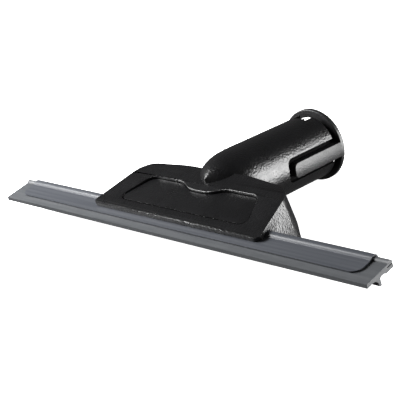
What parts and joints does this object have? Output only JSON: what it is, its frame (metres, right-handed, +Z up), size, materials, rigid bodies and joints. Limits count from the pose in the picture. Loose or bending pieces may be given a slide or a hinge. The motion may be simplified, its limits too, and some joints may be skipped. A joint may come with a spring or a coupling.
{
  "type": "window squeegee head",
  "caption": "Wide window squeegee head: rubber blade in a metal rail on a trapezoid body with a round socket tube and a sprung release ring with two side tongues.",
  "frame": {"origin": "middle of the footprint, on the resting surface under the base and the release ring", "axes": "+X along the blade, +Y back along the socket tube's axis to its mouth, +Z up"},
  "size_m": [0.25, 0.1205, 0.04],
  "materials": {
    "black_plastic": "moulded, fine matt grain",
    "panel_plastic": "moulded, fine grain, slightly satin",
    "ring_plastic": "moulded, satin",
    "rail_metal": "thin sheet, lengthwise brushed, slightly bluish",
    "blade_rubber": "extruded rubber, matt, pale grey cut ends",
    "brass": "turned",
    "seal_rubber": "soft, satin",
    "hose_silicone": "silicone, matt",
    "steel": "zinc-plated or spring steel"
  },
  "bodies": {
    "head": {"top_shell": "black_plastic", "base_cover": "black_plastic", "top_panel": "panel_plastic", "rail": "rail_metal", "rubber_blade": "blade_rubber", "return_spring_right": "steel", "return_spring_left": "steel", "steam_spigot": "brass", "spigot_nut": "brass", "spigot_seal_front": "seal_rubber", "spigot_seal_rear": "seal_rubber", "steam_hose": "hose_silicone", "hose_clip_front": "steel", "hose_clip_rear": "steel", "nozzle_bar": "brass", "rail_screw_right": "steel", "rail_screw_left": "steel", "base_screw_1": "steel", "base_screw_2": "steel", "base_screw_3": "steel", "base_screw_4": "steel", "base_screw_5": "steel", "base_screw_6": "steel"},
    "ring": {"release_ring": "ring_plastic"},
    "pawl_right": {"latch_pawl_right": "steel"},
    "pawl_left": {"latch_pawl_left": "steel"}
  },
  "joints": [
    {"name": "release_ring_slide", "type": "slide", "parent": "head", "child": "ring", "axis": [0, -1, 0], "range_m": [0, 0.0023], "stiffness_N_per_m": 800, "springref_m": -0.001, "deforming": ["return_spring_right", "return_spring_left"]},
    {"name": "pawl_right_slide", "type": "slide", "parent": "head", "child": "pawl_right", "axis": [1, 0, 0], "range_m": [0, 0.00082]},
    {"name": "pawl_left_slide", "type": "slide", "parent": "head", "child": "pawl_left", "axis": [-1, 0, 0], "range_m": [0, 0.00082]}
  ],
  "couplings": [
    {"joint": "pawl_right_slide", "follows": "release_ring_slide", "ratio": 0.35},
    {"joint": "pawl_left_slide", "follows": "release_ring_slide", "ratio": 0.35}
  ]
}
